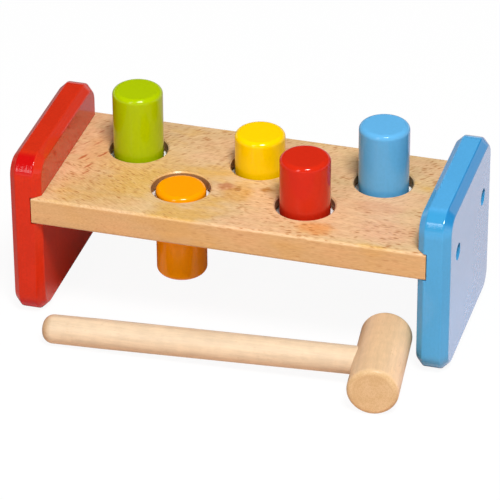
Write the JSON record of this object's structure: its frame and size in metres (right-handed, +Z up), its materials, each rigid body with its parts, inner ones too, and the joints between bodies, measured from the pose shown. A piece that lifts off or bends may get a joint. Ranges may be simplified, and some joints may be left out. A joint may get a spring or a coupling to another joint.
{
  "type": "peg pounding bench",
  "caption": "Toy bench: a board between upright end panels, with soft-gripped pegs in zig-zag holes and a small mallet that drives them down.",
  "frame": {"origin": "under the middle of the whole set's box, on the surface that it stands on", "axes": "+X along the board from the red panel to the blue one, -Y towards the mallet, +Z up"},
  "size_m": [0.22, 0.1324, 0.101],
  "materials": {
    "red_lacquer": "gloss lacquer on solid beech",
    "blue_lacquer": "gloss lacquer on solid beech",
    "green_lacquer": "gloss lacquer on solid beech",
    "orange_lacquer": "gloss lacquer on solid beech",
    "yellow_lacquer": "gloss lacquer on solid beech",
    "beech": "clear satin lacquer, grain along the board",
    "mallet_head_wood": "clear satin lacquer, end grain on both faces",
    "mallet_handle_wood": "clear satin lacquer, grain along the handle",
    "ring_rubber": "soft, matt",
    "screw_steel": "bright zinc-plated"
  },
  "bodies": {
    "bench": {"red_end_panel": "red_lacquer", "blue_end_panel": "blue_lacquer", "board": "beech", "green_peg_ring": "ring_rubber", "orange_peg_ring": "ring_rubber", "yellow_peg_ring": "ring_rubber", "red_peg_ring": "ring_rubber", "blue_peg_ring": "ring_rubber", "red_panel_front_screw": "screw_steel", "red_panel_back_screw": "screw_steel", "blue_panel_front_screw": "screw_steel", "blue_panel_back_screw": "screw_steel"},
    "green_peg": {"green_peg": "green_lacquer"},
    "orange_peg": {"orange_peg": "orange_lacquer"},
    "yellow_peg": {"yellow_peg": "yellow_lacquer"},
    "red_peg": {"red_peg": "red_lacquer"},
    "blue_peg": {"blue_peg": "blue_lacquer"},
    "mallet": {"mallet_head": "mallet_head_wood", "mallet_handle": "mallet_handle_wood"}
  },
  "joints": [
    {"name": "green_peg_slide", "type": "slide", "parent": "bench", "child": "green_peg", "axis": [0, 0, 1], "range_m": [-0.0332, 0]},
    {"name": "orange_peg_slide", "type": "slide", "parent": "bench", "child": "orange_peg", "axis": [0, 0, 1], "range_m": [-0.0004, 0.0328]},
    {"name": "yellow_peg_slide", "type": "slide", "parent": "bench", "child": "yellow_peg", "axis": [0, 0, 1], "range_m": [-0.0185, 0.0147]},
    {"name": "red_peg_slide", "type": "slide", "parent": "bench", "child": "red_peg", "axis": [0, 0, 1], "range_m": [-0.0269, 0.0063]},
    {"name": "blue_peg_slide", "type": "slide", "parent": "bench", "child": "blue_peg", "axis": [0, 0, 1], "range_m": [-0.0321, 0.0011]},
    {"name": "mallet_draw_out", "type": "slide", "parent": "bench", "child": "mallet", "axis": [0, -1, 0], "range_m": [0, 0.15]}
  ]
}
